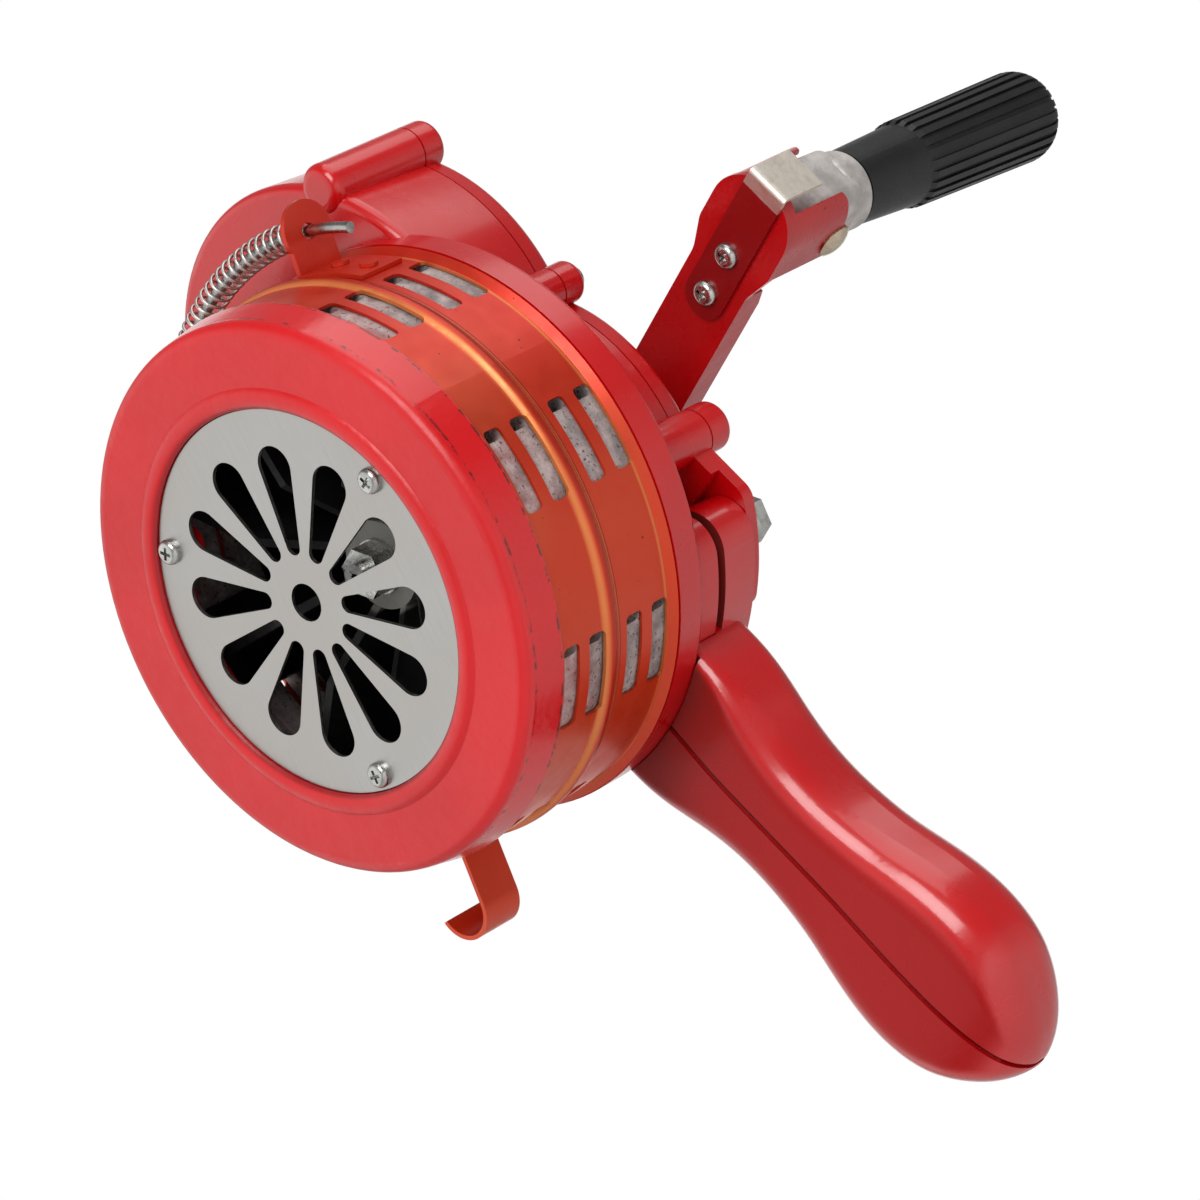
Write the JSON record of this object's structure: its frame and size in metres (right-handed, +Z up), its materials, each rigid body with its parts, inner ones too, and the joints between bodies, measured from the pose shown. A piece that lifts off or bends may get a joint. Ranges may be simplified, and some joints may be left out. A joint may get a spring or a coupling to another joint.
{
  "type": "hand crank siren",
  "caption": "Hand held siren: a folding rear crank spins a geared impeller inside a slotted drum, and a sprung trigger turns the shutter band that lets the sound out.",
  "frame": {"origin": "middle of the handle where the hand holds it, 140 mm below the siren's axis", "axes": "+Z up in use, from the handle to the siren; -Y the sound and intake side; +Y the crank side; X to the right seen from the front"},
  "size_m": [0.1918, 0.2779, 0.3348],
  "materials": {
    "ring_paint": "semi gloss red paint on die cast aluminium",
    "red_paint": "gloss red paint on die cast aluminium",
    "stainless": "brushed stainless sheet",
    "zinc_screws": "zinc plated",
    "gasket": "black sheet gasket",
    "bearing_steel": "ground bearing steel",
    "bronze": "sintered bronze",
    "bright_steel": "turned steel, oiled",
    "gear_steel": "hobbed steel, greased",
    "spring_steel": "drawn spring wire",
    "arm_paint": "dark red paint on pressed steel",
    "copper_lacquer": "orange red candy lacquer on bright steel sheet",
    "red_lacquer": "orange red lacquer on steel strip",
    "cast_rotor": "dark as-cast aluminium, bare grey hub",
    "nickel": "nickel plated",
    "cast_aluminium": "tumbled cast aluminium",
    "black_plastic": "satin moulded plastic"
  },
  "bodies": {
    "casing": {"drum_casting": "ring_paint", "intake_grille": "stainless", "grille_screws": "zinc_screws", "drum_screws": "zinc_screws", "gear_case": "red_paint", "cover_gasket": "gasket", "gear_cover": "red_paint", "cover_screws": "zinc_screws", "rotor_bearings": "bearing_steel", "countershaft_bush_front": "bronze", "countershaft_bush_rear": "bronze", "crank_bush": "bronze", "grip_left": "red_paint", "grip_right": "red_paint", "grip_bolts": "zinc_screws", "grip_washers": "zinc_screws", "grip_screws": "zinc_screws", "guide_rod": "bright_steel", "rod_anchor": "arm_paint", "anchor_screw": "zinc_screws", "return_spring": "spring_steel"},
    "shutter": {"shutter_band": "copper_lacquer", "shutter_lug": "red_lacquer", "trigger": "red_lacquer", "shutter_rivets": "red_lacquer"},
    "rotor": {"impeller": "cast_rotor", "rotor_shaft": "bright_steel", "rotor_pinion": "gear_steel", "impeller_washer": "zinc_screws", "impeller_nut": "zinc_screws"},
    "countershaft": {"countershaft": "bright_steel", "countershaft_gear": "gear_steel", "countershaft_pinion": "gear_steel"},
    "crank": {"crank_shaft": "bright_steel", "crank_gear": "gear_steel", "crank_arm": "arm_paint", "crank_washer": "zinc_screws", "crank_nut": "zinc_screws", "hinge_bracket": "arm_paint", "hinge_pin": "nickel", "latch_spring": "nickel", "latch_screws": "zinc_screws"},
    "folding_grip": {"grip_ferrule": "cast_aluminium", "grip_spindle": "bright_steel", "spindle_clip": "spring_steel"},
    "sleeve": {"grip_sleeve": "black_plastic"}
  },
  "joints": [
    {"name": "crank_turn", "type": "hinge", "parent": "casing", "child": "crank", "pos_m": [0, 0, 0.14], "axis": [0, 1, 0], "continuous": true},
    {"name": "countershaft_turn", "type": "hinge", "parent": "casing", "child": "countershaft", "pos_m": [0, 0, 0.195], "axis": [0, 1, 0], "continuous": true},
    {"name": "rotor_turn", "type": "hinge", "parent": "casing", "child": "rotor", "pos_m": [0, 0, 0.14], "axis": [0, 1, 0], "continuous": true},
    {"name": "shutter_turn", "type": "hinge", "parent": "casing", "child": "shutter", "pos_m": [0, 0, 0.14], "axis": [0, -1, 0], "range_deg": [0, 15.5], "stiffness_Nm_per_rad": 1.6, "springref_deg": -14.32, "deforming": ["return_spring"]},
    {"name": "grip_fold", "type": "hinge", "parent": "crank", "child": "folding_grip", "pos_m": [0.087, 0.08, 0.14], "axis": [0, 0, 1], "range_deg": [0, 85.5]},
    {"name": "sleeve_turn", "type": "hinge", "parent": "folding_grip", "child": "sleeve", "pos_m": [0.08218, 0.14883, 0.14], "axis": [-0.0785, 0.9969, 0], "continuous": true}
  ],
  "couplings": [
    {"joint": "countershaft_turn", "follows": "crank_turn", "ratio": -4.5},
    {"joint": "rotor_turn", "follows": "crank_turn", "ratio": 20.25}
  ]
}
